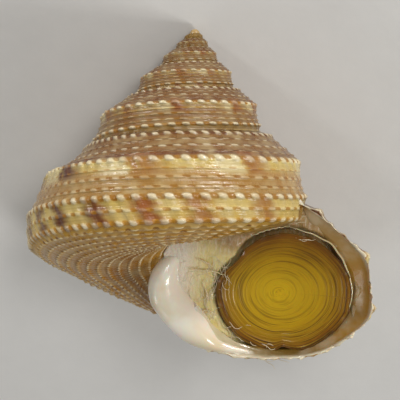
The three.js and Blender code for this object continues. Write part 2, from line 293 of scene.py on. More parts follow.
mouth = {
    # lip below the upper keel in millimetres, seen from the front: sideways, depth
    "lip": [(14.25, 19.5), (14.15, 19.95), (13.5, 20.85), (12.5, 21.8), (11.35, 22.65), (10.1, 23.15),
            (8.6, 23.4), (6.8, 23.55), (5.0, 23.6), (3.54, 23.4), (2.4, 23.1), (1.1, 22.3), (0.38, 21.7)],
    # inside behind the bevel, and at the thin edge of the lip
    "inner": [(8.2, 12.6), (9, 13.9), (10.3, 14.9), (11.3, 16), (12.1, 17.2), (12.6, 18.4), (12.7, 19.6),
              (12.3, 20.7), (11.5, 21.6), (10.2, 22.4), (8.6, 22.85), (6.8, 22.95), (5.1, 22.7), (3.8, 22.1),
              (2.6, 21.2), (1.6, 20.2), (0.8, 18.9), (-0.1, 17.4)],
    "edge": [(8.3, 12.3), (8.95, 12.95), (10.6, 13.85), (12.35, 15.2), (13.3, 16.1), (13.8, 17.2),
             (14.1, 18.9), (13.95, 20.15), (12.85, 21.4), (11.2, 22.55), (9.7, 23.1), (7.7, 23.4),
             (5.7, 23.5), (4.1, 23.35), (2.8, 22.4), (1.7, 21), (0.8, 19.3), (-0.1, 17.4)],
    "bevel": 0.016, "chips": 0.0012,    # turns
    "bevelSteps": (0.8, 0.62, 0.46, 0.32, 0.2, 0.1, 0.03, 0),    # loops on the bevel, as shares of it
    "rounding": [(0.35, 0.042), (0.85, 0.06)],    # edge of the lip: share drawn to its middle, mm forward
    "spread": 0.04,           # how far the rows inside are evened out
    "middle": (7.0, 18.0), "narrow": 0.14,    # the hollow narrows towards this place further in
    "narrowTurns": (0.92, 0.72),
    # colours from the upper corner round the outer lip to the columella: share, red, green and blue
    "round": [(0.0, (176, 144, 90)), (0.1, (176, 142, 86)), (0.25, (176, 128, 38)), (0.42, (168, 122, 36)),
              # the dark stops at 0.55 and 0.65, on the lower lip, are partly painted shadow beside the disc
              (0.55, (108, 80, 26)), (0.65, (132, 106, 52)), (0.78, (200, 182, 136)), (0.9, (228, 220, 196)),
              (1.0, (214, 206, 192))],
    "lipWhite": (232, 222, 196), "deep": (168, 132, 76),
}
lip, innerWall, lipRim = (smoothLine(mouth[name], 300) for name in ("lip", "inner", "edge"))


# Outside of the whorl: outline, sunk ramp and relief along its normal, drawn to the lip's line near the lip
def whorlSurface(turn, row):
    across = alongLine(outlineNormals, row)
    atLip = smoothStep(turn, *sag["lipTurns"])
    sunk = (sag["onTurn"] * (1 - atLip) + sag["atLip"] * atLip) * smoothStep(turn, *sag["turns"])
    sunk = sunk * np.exp(-((row - sagRow) / sag["spread"]) ** 2)
    bare = alongLine(outline, row) - across * sunk[..., None]
    glazed = glazeMask(onCoil(turn, bare), turn, row)
    rise = reliefHeight(turn, row) * (1 - 0.9 * glazed) + glaze["ridge"] * glazed * (1 - glazed)
    full = onCoil(turn, bare + across * rise[..., None])
    low = np.maximum(row, keelRow)
    share = (low - keelRow) / (lineEnd - keelRow)
    shift = fromLip(turn, alongShare(lip, share)) - onCoil(turn, alongLine(outline, low))
    near = smoothStep(turn, coil["lipStart"], coil["lipTurn"])
    near = near * smoothStep(row - keelRow, -coil["lipBlend"], 0)
    return full + shift * near[..., None]


# Inside of the mouth: from the thin edge line to the inner line over the bevel, carried along the spiral
def mouthSurface(turn, share):
    bevel = smoothStep(coil["lipTurn"] - turn, 0, mouth["bevel"])[..., None]
    narrow = mouth["narrow"] * smoothStep(turn, *mouth["narrowTurns"])[..., None]
    inner = alongShare(innerWall, share)
    inner = inner + (np.array(mouth["middle"]) - inner) * narrow
    return fromLip(turn, alongShare(lipRim, share) * (1 - bevel) + inner * bevel)


# A value of each of a mesh's items as one array, width numbers to an item
def readAll(items, name, width, kind):
    values = np.empty(len(items) * width, kind)
    items.foreach_get(name, values)
    return values.reshape(-1, width) if width > 1 else values


# A mesh in the scene from points in the shell's own millimetres, faces, and a UV for each point
def pointMesh(name, points, faces, uv):
    mesh = bpy.data.meshes.new(name)
    mesh.from_pydata(placed(points.reshape(-1, 3)).tolist(), [], faces)
    corners = readAll(mesh.loops, "vertex_index", 1, np.int32)
    layer = mesh.uv_layers.new(name="growth")
    layer.data.foreach_set("uv", uv.reshape(-1, 2)[corners].reshape(-1).astype(np.float32))
    mesh.shade_smooth()
    return addObject(name, mesh)


# A new object in the scene
def addObject(name, data):
    made = bpy.data.objects.new(name, data)
    bpy.context.scene.collection.objects.link(made)
    return made


# Quads of a grid whose columns close into a ring
def ringQuads(rows, columns):
    index = np.arange(rows * columns).reshape(rows, columns)
    here, there = index[:-1], index[1:]
    return np.stack([here, there, np.roll(there, -1, 1), np.roll(here, -1, 1)], -1).reshape(-1, 4)


# Solids from closed loops one behind the other, with flat ends: solid, loop, place in the loop
def loopMesh(name, points, uv):
    rows, columns = points.shape[-3:-1]
    starts = np.arange(0, points.size // 3, rows * columns)[:, None, None]
    ends = np.array([np.arange(columns), np.arange(rows * columns - 1, (rows - 1) * columns - 1, -1)])
    sides = (ringQuads(rows, columns) + starts).reshape(-1, 4)
    return pointMesh(name, points, sides.tolist() + (ends + starts).reshape(-1, columns).tolist(), uv)


# The same for one solid, its last end closed by a strip between the first rows of the loop and the last
# ones, which takes the UV of the first, and by one face over the rows between them
def stripEndMesh(name, points, uv, half):
    rows, columns = points.shape[:2]
    last = (rows - 1) * columns
    k = np.arange(half - 1)
    strip = last + np.stack([k, columns - 1 - k, columns - 2 - k, k + 1], -1)
    middle = [last + half - 1] + list(range(last + columns - half, last + half - 1, -1))
    faces = ringQuads(rows, columns).tolist() + [list(range(columns))] + [middle] + strip.tolist()
    piece = pointMesh(name, points, faces, uv)
    layer = piece.data.uv_layers["growth"].data
    corners = readAll(layer, "uv", 2, np.float32).reshape(-1)
    corners[-len(k) * 8:] = uv[-1][np.stack([k, k, k + 1, k + 1], -1)].reshape(-1)
    layer.foreach_set("uv", corners)
    return piece


detail = {
    "columnsPerTurn": [(-5, 60), (-3, 80), (-2, 120), (-1, 170), (-0.5, 220), (0, 270), (0.3, 310), (1, 336)],
    "rowsAcrossCord": (-1.4, -0.65, 0, 0.65, 1.4),   # in half widths of the cord
    "rowsAcrossBaseCord": (-0.8, 0, 0.8),
    "rowGap": 3.6,            # widest gap between rows, in outline units
    "coarseGap": 9.0,         # the same where the next turn hides the whorl
    "fineFrom": -0.5,         # turn from which none hides it
    "leastGap": 0.35,
    "hiddenRows": 10,
    "columellaRows": 8,
    "reach": 0.015,           # turns that a stretch reaches, shrunk, into the one before
    "shrink": 0.3, "wallShrink": 0.02,
    "hollowStart": 0.62,      # turn at which the hollow of the mouth begins
    "sharpAngle": 55.0,
}
# Rows in the UV that mark the surfaces other than the outside
mouthCode, columellaCode, buriedCode = 400.0, 600.0, -50.0


# Rows along the outline: some on each cord and enough between them
def rowsFor(fineTo):
    places = [np.array([0.0, lineEnd])]
    for at, width in zip(cordRow, cordWidth):
        steps = detail["rowsAcrossCord"] if at <= lowKeelRow + 1 else detail["rowsAcrossBaseCord"]
        places.append(at + width * np.array(steps if at < fineTo else (0,)))
    places = np.unique(np.clip(np.concatenate(places), 0, lineEnd))
    places = places[np.concatenate([[True], np.diff(places) > detail["leastGap"]])]
    places[-1] = lineEnd
    gap = np.where(places[:-1] < fineTo, detail["rowGap"], detail["coarseGap"])
    counts = np.maximum(np.ceil(np.diff(places) / gap), 1).astype(int)
    filled = [np.linspace(a, b, n, endpoint=False) for a, b, n in zip(places[:-1], places[1:], counts)]
    return np.concatenate(filled + [places[-1:]])


# Grids of the turn and of a second value, one row of points for each turn
def gridOf(turns, places):
    return np.meshgrid(turns, places, indexing="ij")


# Half a turn of the filled whorl: outside rows, then hidden rows, in closed loops. The first loop is
# drawn in towards its middle, so that it starts inside the stretch before
def makeStretch(name, start, end, fineTo):
    steps = int(np.ceil(lookUp((start + end) / 2, detail["columnsPerTurn"]) * (end - start)))
    turns = np.concatenate([[start - detail["reach"]], np.linspace(start, end, steps + 1)])
    turn, row = gridOf(turns, rowsFor(fineTo))
    hiddenTurn, hiddenShare = gridOf(turns, np.linspace(0, 1, detail["hiddenRows"] + 2)[1:-1])
    hidden = onCoil(hiddenTurn, alongShare(hiddenSide, hiddenShare))
    points = np.concatenate([whorlSurface(turn, row), hidden], 1)
    points[0] += (points[0].mean(0) - points[0]) * detail["shrink"]
    return loopMesh(name, points, np.concatenate([stacked(turn, row), stacked(hiddenTurn, buriedCode)], 1))


# The thin wall round the mouth: outside rows and, opposite each of them, inside rows in one loop, and
# two more loops that draw both together into the rounded edge of the lip
def makeMouthWall():
    start, end, bevel = detail["hollowStart"], coil["lipTurn"], mouth["bevel"]
    rows = rowsFor(lineEnd)
    steps = int(detail["columnsPerTurn"][-1][1] * (end - start))
    bevelTurns = end - bevel * np.array(mouth["bevelSteps"])
    turns = np.concatenate([[start - detail["reach"]], np.linspace(start, end - bevel, steps), bevelTurns])
    turn, row = gridOf(turns, rows)
    chips = mouth["chips"] * (np.sin(rows * 0.9) + np.sin(rows * 0.37 + 2) + 0.7 * np.sin(rows * 2.3 + 1))
    turn = turn + chips * smoothStep(turn, end - 0.012, end)
    outer = whorlSurface(turn, row)
    rim = fromLip(np.full(len(lipRim[0]), end), lipRim[1])
    away = np.linalg.norm(outer[-1][:, None] - rim[None], axis=2)
    share = np.maximum.accumulate(lipRim[0][np.argmin(away, axis=1)] / lipRim[0][-1])
    share = share + mouth["spread"] * (np.linspace(0, 1, len(share)) - share) + 0 * turn
    inner = mouthSurface(turn, share)
    middle = (outer[-1] + inner[-1]) / 2
    lastOuter, lastInner = outer[-1], inner[-1]
    for drawn, forward in mouth["rounding"]:
        ahead = middle * drawn + mouthOut * forward
        outer = np.concatenate([outer, (lastOuter * (1 - drawn) + ahead)[None]])
        inner = np.concatenate([inner, (lastInner * (1 - drawn) + ahead)[None]])
    between = np.linspace(0, 1, detail["columellaRows"] + 2)[1:-1, None]
    wall = outer[:, -1:] * (1 - between) + inner[:, -1:] * between
    points = np.concatenate([outer, wall, inner[:, ::-1]], 1)
    points[0] += (points[0].mean(0) - points[0]) * detail["wallShrink"]
    wallUv = stacked(*gridOf(turns, columellaCode + 5 * between[:, 0]))
    uv = np.concatenate([stacked(turn, row), wallUv, stacked(turn, mouthCode + 100 * share)[:, ::-1]], 1)
    return stripEndMesh("mouthWall", points, np.concatenate([uv, uv[-1:], uv[-1:]]), len(rows))


columella = {
    # sideways, back, depth and radius, in millimetres
    "path": [(0.9, 1.4, 14, 0.9), (0.15, 1.1, 16.2, 1.0), (-0.8, 0.45, 17.7, 1.1), (-0.85, 0.7, 18.9, 1.05),
             (-0.45, 1.05, 19.8, 0.98), (0.45, 1.45, 20.75, 1.0), (1.5, 1.95, 21.6, 1.05),
             (2.25, 2.2, 22.25, 0.9), (3.2, 2.4, 22.8, 0.55), (4.4, 2.4, 23.05, 0.28),
             (5.6, 2.5, 23.15, 0.1)],
    "steps": 100, "sides": 44,
    "shear": 0.68, "glazeDepth": 17.3,    # slope of the edge of the glaze across it, depth of its middle
    # it is lavender to the right of this line: depth, sideways
    "shade": [(14, 0.5), (17.8, -0.95), (18.9, -0.95), (19.8, -0.45), (20.75, 0.45), (21.6, 1.6),
              (22.8, 3.4)],
    "porcelain": (252, 246, 230), "warm": (234, 218, 184), "grey": (232, 224, 206),
    "lavender": (244, 230, 208), "low": (224, 200, 152),
}
apex = {"radius": 0.36, "depth": 0.58, "around": 32, "down": 24}
# Radius and height of the spindle inside the spire, in millimetres
core = [(0.05, -0.9), (0.9, -4), (1.3, -8), (1.2, -12), (0.6, -14.5), (0.25, -16), (0.02, -17.2)]


# Rings of a tube along points: each stands square to the way ahead, with a first side square to a
# direction that is given
def tubeRings(middle, radius, sides, across):
    ahead = unit(np.gradient(middle, axis=-2))
    side = unit(np.cross(ahead, across))
    up = np.cross(side, ahead)
    angle = np.linspace(0, 2 * np.pi, sides, endpoint=False)[:, None]
    ring = side[..., None, :] * np.cos(angle) + up[..., None, :] * np.sin(angle)
    return middle[..., None, :] + np.asarray(radius)[..., None, None] * ring


# A tube along a smooth line through points with a radius, and how far along each ring lies
def smoothTube(path, steps, sides):
    at, line = smoothLine(path, steps)
    return tubeRings(line[:, :3], line[:, 3], sides, [0, 1, 0]), at / at[-1]


# The columella: porcelain below the edge of the glaze and the last cords of the base above it
def makeColumella():
    path = [(x, back, -depth, radius) for x, back, depth, radius in columella["path"]]
    points, share = smoothTube(path, columella["steps"], columella["sides"])
    along, side = gridOf(share, np.arange(columella["sides"]) / columella["sides"])
    middle = points.mean(1)
    bare = -middle[:, 2] < columella["glazeDepth"]
    points[..., 2] += columella["shear"] * (points[..., 0] - middle[:, :1]) * smoothStep(along, 0.85, 0.55)
    cordsOn = stacked(0.1 + 0.3 * side, lineEnd - 20 + 8 * (-points[..., 2] - 15.5))
    plain = stacked(along, columellaCode + 20 + 50 * side)
    return loopMesh("columella", points, np.where(bare[:, None, None], cordsOn, plain))


# The rounded tip is a sphere by two angles, and a spindle along the axis fills the middle of the spire
def makeApexAndCore():
    angles = np.linspace(0, 2 * np.pi, apex["around"], endpoint=False)
    down, around = gridOf(np.linspace(0.03, np.pi - 0.03, apex["down"]), angles)
    dome = stacked(np.sin(down) * np.cos(around), np.sin(down) * np.sin(around), np.cos(down))
    dome = dome * apex["radius"] - [0, 0, apex["depth"]]
    radius, around = gridOf(np.array(core)[:, 0], angles)
    cone = stacked(radius * np.cos(around), radius * np.sin(around), np.array(core)[:, 1:])
    domeUv, coneUv = stacked(0 * down + coil["firstTurn"], 60), stacked(0 * radius, buriedCode)
    return loopMesh("tip", dome, domeUv), loopMesh("core", cone, coneUv)


# All stretches joined into one closed surface
def makeShell():
    pieces, half = [], 0.5
    for k, start in enumerate(np.arange(coil["firstTurn"], detail["hollowStart"], half)):
        end = min(start + half, detail["hollowStart"])
        fineTo = lineEnd if start >= detail["fineFrom"] else betweenKeelsRow + 4
        pieces.append(makeStretch(f"whorl{k}", start, end, fineTo))
    pieces += [makeMouthWall(), makeColumella(), *makeApexAndCore()]
    joined = bpy.data.collections.new("shellParts")
    for piece in pieces[1:]:
        joined.objects.link(piece)
    union = pieces[0].modifiers.new("join", "BOOLEAN")
    union.operation, union.solver, union.operand_type = "UNION", "MANIFOLD", "COLLECTION"
    union.collection = joined
    graph = bpy.context.evaluated_depsgraph_get()
    mesh = bpy.data.meshes.new_from_object(pieces[0].evaluated_get(graph))
    mesh.name = "shellSurface"
    mesh.materials.clear()
    for piece in pieces:
        bpy.data.objects.remove(piece)
    bpy.data.collections.remove(joined)
    mesh.shade_smooth()
    mesh.set_sharp_from_angle(angle=np.radians(detail["sharpAngle"]))
    return addObject("shellSurface", mesh)


shell = makeShell()
shell.data.calc_loop_triangles()
print("shell surface joined:", len(shell.data.loop_triangles), "triangles")

paint = {
    # stretches of a turn with a brown patch on the shoulder: start, end, strength
    "shoulderFlames": [(0.118, 0.156, 0.8), (0.25, 0.300, 0.75), (0.367, 0.407, 1.0), (0.455, 0.48, 0.9),
                       (-0.762, -0.732, 1.0), (-0.902, -0.866, 0.9), (-0.65, -0.626, 0.8)],
    # stretches with a plain cream patch there
    "shoulderCream": [(0.157, 0.197), (0.300, 0.33), (0.407, 0.446), (-0.732, -0.702), (-0.866, -0.845)],
    # brown flames across the keel: middle, half width, strength
    "keelFlames": [(0.067, 0.009, 0.7), (0.155, 0.016, 0.75), (0.239, 0.016, 0.8), (0.299, 0.015, 1.0),
                   (0.357, 0.014, 1.0), (0.409, 0.01, 1.0), (0.448, 0.009, 0.9), (0.485, 0.008, 0.8)],
    "byChance": [(-5.0, -0.93), (-0.6, 0.04), (0.5, 0.99)],    # stretches whose flames are placed by chance
    "seed": 11,
    "unevenWall": 0.4, "unevenBase": 0.8,    # how much the white and brown of the beads differ
    # ground colour down the outline: nearest cord (0 is the one under the seam) and a shift, colour
    "ground": [
        (0, -6, (84, 46, 14)), (0, 0, (132, 90, 34)), (2, 0, (134, 90, 34)), (3, 0, (124, 78, 26)),
        # the dark stop six rows above the shoulder cord is a brown line, partly painted shadow at the
        # shoulder's edge
        (4, -6, (98, 46, 10)), (4, -3, (140, 92, 32)), (4, 2, (212, 186, 105)), (5, -1, (204, 174, 95)),
        (5, 4, (178, 136, 70)), (6, 4, (170, 126, 61)), (7, 4, (168, 126, 58)), (8, -3, (164, 118, 49)),
        (8, 4, (212, 184, 100)), (9, 5, (210, 178, 94)), (10, 2, (196, 150, 52)), (12, 0, (190, 136, 34)),
        (16, 0, (178, 122, 20)), (20, 0, (156, 100, 8)), (23, 0, (190, 138, 36)),
    ],
    "bead": (228, 214, 180), "baseBead": (250, 236, 190), "gapYellow": (192, 132, 18),
    # grooveShade is painted shade between the cords
    "gapBrown": (94, 46, 0), "grooveShade": (104, 62, 26), "cream": (222, 204, 150),
    "flameOrange": (150, 84, 28), "flameDark": (88, 38, 14),
    "spireGround": (136, 92, 46), "apex": (166, 128, 58), "glaze": (164, 128, 70),
}


# A pulse that rises softly from its start and ends sharply, as a growth step does
def flamePulse(start, end):
    width = end - start
    rise = smoothStep(turnGrid, start - 0.25 * width, start + 0.6 * width)
    return rise * smoothStep(turnGrid, end + 0.002, end - 0.003)


# A pulse with a soft step up at its start and a sharper one down at its end
def creamPulse(start, end):
    return smoothStep(turnGrid, start, start + 0.004) * smoothStep(turnGrid, end + 0.002, end - 0.002)


# A flat bell: falls off with the third power of the distance from its middle
def keelPulse(middle, half):
    return np.exp(-np.abs((turnGrid - middle) / half) ** 3)


# Flames along the spiral: those listed, and more by chance on turns that the list leaves out
def flameLines():
    draw = np.random.default_rng(paint["seed"])
    shoulder = [strength * flamePulse(start, end) for start, end, strength in paint["shoulderFlames"]]
    cream = [creamPulse(start, end) for start, end in paint["shoulderCream"]]
    keel = [strength * keelPulse(middle, half) for middle, half, strength in paint["keelFlames"]]
    for start, end in paint["byChance"]:
        at = start
        while at < end:
            width = 0.03 + 0.02 * draw.random()
            strength = 0.5 + 0.5 * draw.random()
            shoulder.append(strength * flamePulse(at, at + width))
            if draw.random() < 0.6:
                cream.append(creamPulse(at + width, at + width + 0.032))
            at += width + 0.03 + 0.05 * draw.random()
        at = start
        while at < end:
            keel.append((0.4 + 0.6 * draw.random()) * keelPulse(at, 0.009))
            at += 0.04 + 0.035 * draw.random()
    return [np.max(pulses, axis=0) for pulses in (shoulder, cream, keel)]


# Masks at every corner of the shell, from its turn, its row and its place
def paintShell(mesh):
    turn, row = readAll(mesh.uv_layers["growth"].data, "uv", 2, np.float32).T.astype(float)
    corners = readAll(mesh.loops, "vertex_index", 1, np.int32)
    place = unplaced(readAll(mesh.vertices, "co", 3, np.float64))[corners]
    phase = beadPhase(turn, row)
    away = np.abs(row[:, None] - cordRow) / cordWidth
    nearest = np.argmin(away, axis=1)
    width = cordWidth[nearest]
    gapAway = np.abs(row - cordRow[nearest] + cordAbove[nearest] * width) / width / gapTall[nearest]
    beadAway = away[np.arange(len(row)), nearest]
    uneven = np.where(row > lowKeelRow + 2, paint["unevenBase"], paint["unevenWall"])
    white = cordWhite[nearest] * (1 - uneven + uneven * beadChance[nearest, np.round(phase).astype(int)])
    gap = cordGap[nearest] * (1 - uneven + uneven * gapChance[nearest, np.floor(phase).astype(int)])
    drift = 0.003 * np.sin(row * 0.45 + turn * 90) + 0.002 * np.sin(row * 1.1 + turn * 170 + 1)
    shoulder, cream, keel = (np.interp(turn + drift, turnGrid, line) for line in flameLines())
    below, underKeel = row - shoulderRow, row - lowKeelRow
    onShoulder = smoothStep(below, -5, -2) * smoothStep(below, 17, 9)
    onKeel = smoothStep(row - keelRow, -2, 1) * smoothStep(underKeel, 4, 1)
    flame = np.maximum(shoulder * onShoulder, keel * onKeel)
    # Dark line above the shoulder where a shoulder flame lies: partly flame colour, partly painted shadow at
    # the shoulder's edge
    seamShade = shoulder * np.exp(-((below + 6) / 3) ** 2)
    masks = {
        "beadPhase": phase, "cordAway": np.minimum(beadAway, 3), "gapAway": np.minimum(gapAway, 4),
        "beadAway": np.minimum(beadAway / beadTall[nearest], 4),
        "beadWhite": white * (1 - 0.55 * flame), "gapBrown": gap, "gapDark": cordDark[nearest],
        # flames, together with the painted seam shadow above the shoulder
        "flameAndSeamShade": np.maximum(flame, 0.8 * seamShade), "creamPatch": cream * onShoulder,
        "glaze": glazeMask(place, turn, row), "behindLip": behindLip(place),
        "lavender": smoothStep(place[:, 0] - lookUp(-place[:, 2], columella["shade"]), 0.0, 0.85),
    }
    for name, values in masks.items():
        mesh.attributes.new(name, "FLOAT", "CORNER").data.foreach_set("value", values.astype(np.float32))
    kind = row[readAll(mesh.polygons, "loop_start", 1, np.int32)]
    slots = np.digitize(kind, (mouthCode - 100, columellaCode - 10)).astype(np.int32)
    mesh.polygons.foreach_set("material_index", slots)


paintShell(shell.data)
print("shell painted")


# A colour given as on the screen, 0 to 255, made linear
def tint(red, green, blue):
    value = np.array([red, green, blue]) / 255
    return tuple(np.where(value < 0.04045, value / 12.92, ((value + 0.055) / 1.055) ** 2.4)) + (1.0,)


# A new node with settings and inputs. An input given as a socket is linked, and one given as red, green
# and blue is made linear. The tree is named only where no input is a socket
def addNode(kind, inputs, tree=None, **settings):
    tree = tree or next(value.id_data for value in inputs.values() if isinstance(value, bpy.types.NodeSocket))
    made = tree.nodes.new("ShaderNode" + kind)
    for name, value in settings.items():
        setattr(made, name, value)
    for name, value in inputs.items():
        if isinstance(value, bpy.types.NodeSocket):
            tree.links.new(value, made.inputs[name])
        else:
            made.inputs[name].default_value = tint(*value) if isinstance(value, tuple) else value
    return made


# One step of arithmetic on values or sockets
def calculate(operation, first, second=0.0, third=0.0, clamp=False):
    return addNode("Math", {0: first, 1: second, 2: third}, operation=operation, use_clamp=clamp).outputs[0]


# All values multiplied
def product(first, *others):
    for other in others:
        first = calculate("MULTIPLY", first, other)
    return first


# Two colours mixed by a factor: all first at 0, all second at 1
def mixColor(factor, first, second, blend="MIX"):
    settings = {"data_type": "RGBA", "blend_type": blend, "clamp_factor": True}
    return addNode("Mix", {0: factor, 6: first, 7: second}, **settings).outputs[2]


# A colour with another one laid over it by the product of the masks
def layer(color, over, *masks):
    return mixColor(product(*masks), color, over)


# A value carried from one range to another and held at its ends
def rescale(value, low, high, toLow=0.0, toHigh=1.0, kind="LINEAR"):
    inputs = {0: value, 1: low, 2: high, 3: toLow, 4: toHigh}
    return addNode("MapRange", inputs, interpolation_type=kind).outputs[0]


# A soft step of a value between two limits, up or down
def softStep(value, start, end):
    if start < end:
        return rescale(value, start, end, 0.0, 1.0, "SMOOTHSTEP")
    return rescale(value, end, start, 1.0, 0.0, "SMOOTHSTEP")


# Colours along a value from 0 to 1
def colorRamp(factor, stops):
    ramp = addNode("ValToRGB", {0: factor})
    elements = ramp.color_ramp.elements
    elements[0].position, elements[0].color = stops[0][0], tint(*stops[0][1])
    elements[1].position, elements[1].color = stops[-1][0], tint(*stops[-1][1])
    for place, color in stops[1:-1]:
        elements.new(place).color = tint(*color)
    return ramp.outputs[0]


# Three values as one vector
def combine(x, y, z=0.0):
    return addNode("CombineXYZ", {0: x, 1: y, 2: z}).outputs[0]


# Smooth noise from 0 to 1 about a place
def noise(vector, scale, detail=3.0, roughness=0.5):
    inputs = {"Vector": vector, "Scale": scale, "Detail": detail, "Roughness": roughness}
    return addNode("TexNoise", inputs).outputs[0]


# Place in the object's own metres
def objectPlace(tree):
    return addNode("TexCoord", {}, tree).outputs["Object"]


# A mask painted on the mesh
def readAttribute(tree, name):
    return addNode("Attribute", {}, tree, attribute_name=name).outputs["Fac"]


# The two directions of the UV map: turn and row on the shell, other pairs on the other pieces
def turnAndRow(tree):
    uv = addNode("UVMap", {}, tree, uv_map="growth").outputs[0]
    return addNode("SeparateXYZ", {0: uv}).outputs[:2]


# A new material on a mesh, with constants on its shader's own sockets
def newMaterial(mesh, name, constants):
    material = bpy.data.materials.new(name)
    material.use_nodes = True
    mesh.materials.append(material)
    shader = material.node_tree.nodes["Principled BSDF"]
    for socket, value in constants.items():
        shader.inputs[socket].default_value = value
    return material.node_tree, shader


# Colour, bumps (strength without a unit, distance in metres) and a roughness linked to a shader
def finishMaterial(shader, color, height, strength, distance, rough=None):
    bump = addNode("Bump", {"Height": height, "Strength": strength, "Distance": distance}).outputs[0]
    for name, value in (("Base Color", color), ("Normal", bump), ("Roughness", rough)):
        if value is not None:
            shader.id_data.links.new(value, shader.inputs[name])


# An empty node group with named inputs and outputs, all of them plain numbers
def newGroup(name, inputs, outputs):
    group = bpy.data.node_groups.new(name, "ShaderNodeTree")
    for label, value in inputs.items():
        socket = group.interface.new_socket(label, in_out="INPUT", socket_type="NodeSocketFloat")
        socket.default_value = value
    for label in outputs:
        group.interface.new_socket(label, in_out="OUTPUT", socket_type="NodeSocketFloat")
    return group, group.nodes.new("NodeGroupInput").outputs, group.nodes.new("NodeGroupOutput").inputs


# A shared node group in a tree, with its named inputs: gives its outputs
def useGroup(tree, group, inputs):
    return addNode("Group", inputs, tree, node_tree=group).outputs


# Lines that run round the shell and finer lines across them: a wave over the row, and noise drawn out
# along the row. Puts out a height and a mask
def makeGrowthLines():
    inputs = {"Turn": 0, "Row": 0, "Threads": 1, "Striae": 1}
    group, given, out = newGroup("growthLines", inputs, ("Height", "Mask"))
    wave = calculate("SINE", product(given["Row"], 2.55))
    fine = noise(combine(product(given["Turn"], 190), product(given["Row"], 0.05)), 1.0, 3.0, 0.6)
    height = calculate("MULTIPLY_ADD", fine, given["Striae"], product(wave, given["Threads"], 0.5))
    group.links.new(height, out["Height"])
    group.links.new(fine, out["Mask"])
    return group


# Fine grain over any of the surfaces: two sizes of noise added. Puts out a height and a soft mottle
def makeFineGrain():
    group, given, out = newGroup("fineGrain", {"Scale": 1}, ("Height", "Mottle"))
    small = noise(objectPlace(group), product(given["Scale"], 6000), 2.0)
    large = noise(objectPlace(group), product(given["Scale"], 900), 3.0)
    group.links.new(calculate("MULTIPLY_ADD", small, 0.5, large), out["Height"])
    group.links.new(large, out["Mottle"])
    return group


growthLines = makeGrowthLines()
fineGrain = makeFineGrain()


# A spot with soft edges: distances along and across in half widths, each raised to a power and added
def oval(along, half, across, power, outside, inside):
    first = calculate("POWER", calculate("DIVIDE", along, half), power)
    total = calculate("ADD", first, calculate("POWER", across, power))
    return softStep(calculate("POWER", total, 1 / power), outside, inside)


# Outside of the shell: ground by row, darker and paler by growth lines, with flames and the painted seam
# shadow over it
def groundColor(tree, turn, row, lines, mottle):
    stops = [(np.clip((cordRow[k] + shift) / lineEnd, 0, 1), color) for k, shift, color in paint["ground"]]
    color = colorRamp(calculate("DIVIDE", row, lineEnd), stops)
    color = layer(color, paint["spireGround"], softStep(turn, 0.0, -0.6), 0.45)
    shade = rescale(lines["Mask"], 0.3, 0.7, 0.84, 1.08)
    grey = addNode("CombineColor", {0: shade, 1: shade, 2: shade}).outputs[0]
    color = mixColor(0.8, color, grey, "MULTIPLY")
    color = layer(color, paint["cream"], softStep(mottle, 0.35, 0.75), 0.35)
    color = layer(color, paint["cream"], readAttribute(tree, "creamPatch"), 0.85)
    flame = mixColor(softStep(turn, 0.3, 0.4), paint["flameOrange"], paint["flameDark"])
    ragged = calculate("MINIMUM", product(lines["Mask"], rescale(mottle, 0.3, 0.6, 1.4, 2.4)), 1.0)
    # the mask holds the flames and the painted seam shadow above the shoulder
    return layer(color, flame, readAttribute(tree, "flameAndSeamShade"), ragged)


# Over the ground: painted shade in the grooves between the cords, white beads, brown dashes between them,
# glaze and a pale edge at the lip
def outsideMaterial(mesh):
    constants = {"Specular IOR Level": 0.55, "Coat Weight": 0.12, "Coat Roughness": 0.1}
    tree, shader = newMaterial(mesh, "shellOutside", constants)
    turn, row = turnAndRow(tree)
    lines = useGroup(tree, growthLines, {"Turn": turn, "Row": row, "Threads": 0.35, "Striae": 1.6})
    grain = useGroup(tree, fineGrain, {"Scale": 1.0})
    color = groundColor(tree, turn, row, lines, grain["Mottle"])
    fromCord = readAttribute(tree, "cordAway")
    # Painted shade in the grooves between the cords, stronger on the spire
    deep = calculate("MULTIPLY_ADD", softStep(turn, 0.1, -0.5), 0.4, 0.16)
    color = layer(color, paint["grooveShade"], softStep(fromCord, 0.9, 1.5), deep)
    phase = readAttribute(tree, "beadPhase")
    fromBead = calculate("ABSOLUTE", calculate("SUBTRACT", phase, calculate("ROUND", phase)))
    bead = oval(fromBead, 0.33, readAttribute(tree, "beadAway"), 2, 1.3, 0.5)
    bead = product(bead, readAttribute(tree, "beadWhite"))
    onBase = softStep(row, lowKeelRow + 1, lowKeelRow + 4)
    color = layer(color, mixColor(onBase, paint["bead"], paint["baseBead"]), bead)
    gap = oval(calculate("SUBTRACT", 0.5, fromBead), 0.25, readAttribute(tree, "gapAway"), 3, 1.15, 0.8)
    gapColor = mixColor(readAttribute(tree, "gapDark"), paint["gapYellow"], paint["gapBrown"])
    color = layer(color, gapColor, gap, readAttribute(tree, "gapBrown"))
    color = layer(color, paint["apex"], softStep(turn, -3.6, -4.6), 0.8)
    color = layer(color, paint["glaze"], readAttribute(tree, "glaze"), 0.85)
    atEdge = product(softStep(readAttribute(tree, "behindLip"), 0.4, 0.1), softStep(turn, 0.9, 0.95))
    color = layer(color, paint["bead"], atEdge, softStep(grain["Mottle"], 0.6, 0.5))
    height = calculate("MULTIPLY_ADD", grain["Height"], 0.5, lines["Height"])
    height = calculate("MULTIPLY_ADD", bead, 3.0, height)
    height = calculate("MULTIPLY_ADD", softStep(fromCord, 1.3, 0.3), 1.5, height)
    finishMaterial(shader, color, height, 0.7, 0.00004, rescale(grain["Height"], 0.4, 1.1, 0.2, 0.4))
